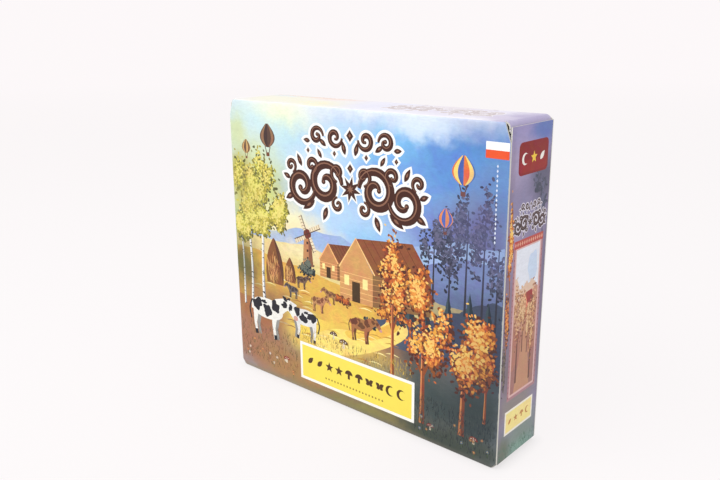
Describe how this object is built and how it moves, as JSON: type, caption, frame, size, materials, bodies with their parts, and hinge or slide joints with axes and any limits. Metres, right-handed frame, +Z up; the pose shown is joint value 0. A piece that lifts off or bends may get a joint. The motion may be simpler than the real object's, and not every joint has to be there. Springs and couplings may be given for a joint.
{
  "type": "board game box",
  "caption": "Upright paperboard carton with hinged tuck closures and dust flaps at both ends, holding a folded card insert, stacked picture tiles and a leaflet.",
  "frame": {"origin": "centre of the bottom panel's outer face, on the surface the carton stands on", "axes": "+Z up, +X towards the right-hand closure, the printed front faces -Y"},
  "size_m": [0.2, 0.041, 0.18],
  "materials": {
    "printed_front": "gloss varnish over offset print",
    "printed_back": "gloss varnish over offset print",
    "printed_top": "gloss varnish over offset print",
    "printed_bottom": "gloss varnish over offset print",
    "printed_end": "gloss varnish over offset print",
    "printed_dust_flap": "print fading to bare board",
    "bare_board": "uncoated white-lined board",
    "insert_card": "uncoated folded card",
    "leaflet_paper": "uncoated paper with faint print",
    "tile_board": "laminated grey board with varnished print"
  },
  "bodies": {
    "carton": {"front_panel": "printed_front", "back_panel": "printed_back", "top_panel": "printed_top", "bottom_panel": "printed_bottom", "glue_flap": "bare_board", "card_insert": "insert_card", "rules_leaflet": "leaflet_paper", "tile_stack_1": "tile_board", "tile_stack_2": "tile_board", "tile_stack_3": "tile_board", "tile_stack_4": "tile_board", "tile_stack_5": "tile_board", "tile_stack_6": "tile_board"},
    "right_closure": {"right_closure": "printed_end"},
    "right_tuck_flap": {"right_tuck_flap": "bare_board"},
    "right_top_dust_flap": {"right_top_dust_flap": "printed_dust_flap"},
    "right_bottom_dust_flap": {"right_bottom_dust_flap": "printed_dust_flap"},
    "left_closure": {"left_closure": "printed_end"},
    "left_tuck_flap": {"left_tuck_flap": "bare_board"},
    "left_top_dust_flap": {"left_top_dust_flap": "printed_dust_flap"},
    "left_bottom_dust_flap": {"left_bottom_dust_flap": "printed_dust_flap"}
  },
  "joints": [
    {"name": "right_closure_crease", "type": "hinge", "parent": "carton", "child": "right_closure", "pos_m": [0.0996, 0.0201, 0.09], "axis": [0, 0, 1], "range_deg": [0, 180]},
    {"name": "right_tuck_crease", "type": "hinge", "parent": "right_closure", "child": "right_tuck_flap", "pos_m": [0.0996, -0.019, 0.09], "axis": [0, 0, 1], "range_deg": [0, 45]},
    {"name": "right_top_dust_crease", "type": "hinge", "parent": "carton", "child": "right_top_dust_flap", "pos_m": [0.09865, 0, 0.1768], "axis": [0, -1, 0], "range_deg": [0, 90]},
    {"name": "right_bottom_dust_crease", "type": "hinge", "parent": "carton", "child": "right_bottom_dust_flap", "pos_m": [0.09865, 0, 0.0032], "axis": [0, 1, 0], "range_deg": [0, 90]},
    {"name": "left_closure_crease", "type": "hinge", "parent": "carton", "child": "left_closure", "pos_m": [-0.0996, 0.0201, 0.09], "axis": [0, 0, -1], "range_deg": [0, 180]},
    {"name": "left_tuck_crease", "type": "hinge", "parent": "left_closure", "child": "left_tuck_flap", "pos_m": [-0.0996, -0.019, 0.09], "axis": [0, 0, -1], "range_deg": [0, 45]},
    {"name": "left_top_dust_crease", "type": "hinge", "parent": "carton", "child": "left_top_dust_flap", "pos_m": [-0.09865, 0, 0.1768], "axis": [0, 1, 0], "range_deg": [0, 90]},
    {"name": "left_bottom_dust_crease", "type": "hinge", "parent": "carton", "child": "left_bottom_dust_flap", "pos_m": [-0.09865, 0, 0.0032], "axis": [0, -1, 0], "range_deg": [0, 90]}
  ],
  "couplings": [
    {"joint": "right_tuck_crease", "follows": "right_closure_crease", "ratio": 0.25},
    {"joint": "right_top_dust_crease", "follows": "right_closure_crease", "ratio": 0.5},
    {"joint": "right_bottom_dust_crease", "follows": "right_closure_crease", "ratio": 0.5},
    {"joint": "left_tuck_crease", "follows": "left_closure_crease", "ratio": 0.25},
    {"joint": "left_top_dust_crease", "follows": "left_closure_crease", "ratio": 0.5},
    {"joint": "left_bottom_dust_crease", "follows": "left_closure_crease", "ratio": 0.5}
  ]
}
